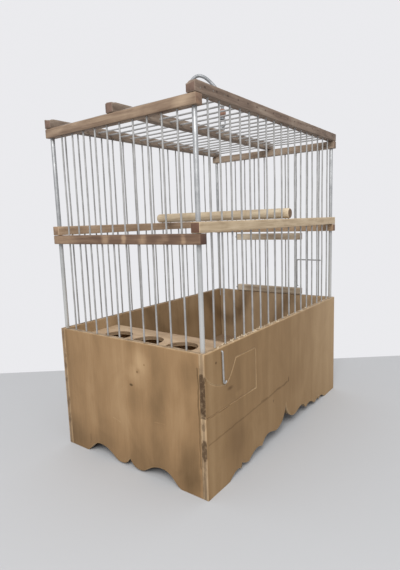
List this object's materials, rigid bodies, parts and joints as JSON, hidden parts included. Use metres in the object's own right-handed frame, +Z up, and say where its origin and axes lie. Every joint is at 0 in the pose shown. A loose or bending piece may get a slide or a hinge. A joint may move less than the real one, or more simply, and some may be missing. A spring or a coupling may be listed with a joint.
{
  "type": "bird cage",
  "caption": "Small breeding cage for finches: scalloped plywood box with feeder drawer, wire walls and roof between wooden rails, side-hung wire door, perch and hanging hook.",
  "frame": {"origin": "on the floor, under the middle of the cage", "axes": "+Z up; +X across the cage, towards the side that the feeder drawer opens on; +Y along the cage, from the feeder's end to the door's end"},
  "size_m": [0.204, 0.32, 0.4332],
  "materials": {
    "box_ply": "worn stained plywood, satin",
    "edge_ply": "bare plywood, matt",
    "dark_rail": "dark stained wood, worn",
    "light_rail": "light wood, worn",
    "grey_rail": "weathered wood, matt",
    "pale_pine": "bare pine",
    "wire": "galvanised, dull",
    "rod": "bright drawn",
    "hook": "dull plated"
  },
  "bodies": {
    "frame": {"near_end_panel": "box_ply", "far_end_panel": "box_ply", "left_side_panel": "box_ply", "right_side_panel": "box_ply", "floor_board": "box_ply", "feeder_board": "pale_pine", "drawer_partition": "edge_ply", "near_runner": "edge_ply", "far_runner": "edge_ply", "near_left_post": "rod", "near_right_post": "rod", "far_right_post": "rod", "far_left_post": "rod", "near_wall": "dark_rail", "right_wall": "light_rail", "left_wall": "dark_rail", "far_wall": "dark_rail", "far_wire_1": "wire", "far_wire_2": "wire", "far_wire_3": "wire", "far_wire_4": "wire", "near_top_rail": "light_rail", "far_top_rail": "grey_rail", "right_top_rail": "grey_rail", "left_top_rail": "grey_rail", "roof_grille": "grey_rail", "perch": "pale_pine", "hook_eye": "wire"},
    "feeder_drawer": {"drawer_front": "box_ply", "drawer_floor": "edge_ply", "drawer_near_side": "edge_ply", "drawer_far_side": "edge_ply", "drawer_back": "edge_ply", "drawer_divider_1": "edge_ply", "drawer_divider_2": "edge_ply"},
    "drawer_catch": {"drawer_hook": "wire"},
    "door": {"door_top_bar": "light_rail", "door_bottom_bar": "light_rail", "door_top_eye": "wire", "door_bottom_eye": "wire"},
    "latch": {"door_latch": "wire"},
    "link": {"hook_link": "wire"},
    "hanging_hook": {"hook_nut": "hook", "hook_bead": "pale_pine", "hook_rod": "hook"}
  },
  "joints": [
    {"name": "drawer_slide", "type": "slide", "parent": "frame", "child": "feeder_drawer", "axis": [1, 0, 0], "range_m": [0, 0.17]},
    {"name": "drawer_hook_turn", "type": "hinge", "parent": "frame", "child": "drawer_catch", "pos_m": [0.1, -0.133, 0.1339], "axis": [1, 0, 0], "continuous": true},
    {"name": "door_swing", "type": "hinge", "parent": "frame", "child": "door", "pos_m": [-0.06046, 0.156, 0.1838], "axis": [0, 0, 1], "range_deg": [0, 150]},
    {"name": "latch_turn", "type": "hinge", "parent": "door", "child": "latch", "pos_m": [0.04318, 0.156, 0.151], "axis": [0, 0, 1], "range_deg": [0, 150]},
    {"name": "hook_tilt", "type": "hinge", "parent": "frame", "child": "link", "pos_m": [0, 0.031, 0.3702], "axis": [0, 1, 0], "range_deg": [-25, 25]},
    {"name": "hook_swivel", "type": "hinge", "parent": "link", "child": "hanging_hook", "pos_m": [0, 0.031, 0.3788], "axis": [0, 0, 1], "continuous": true}
  ]
}
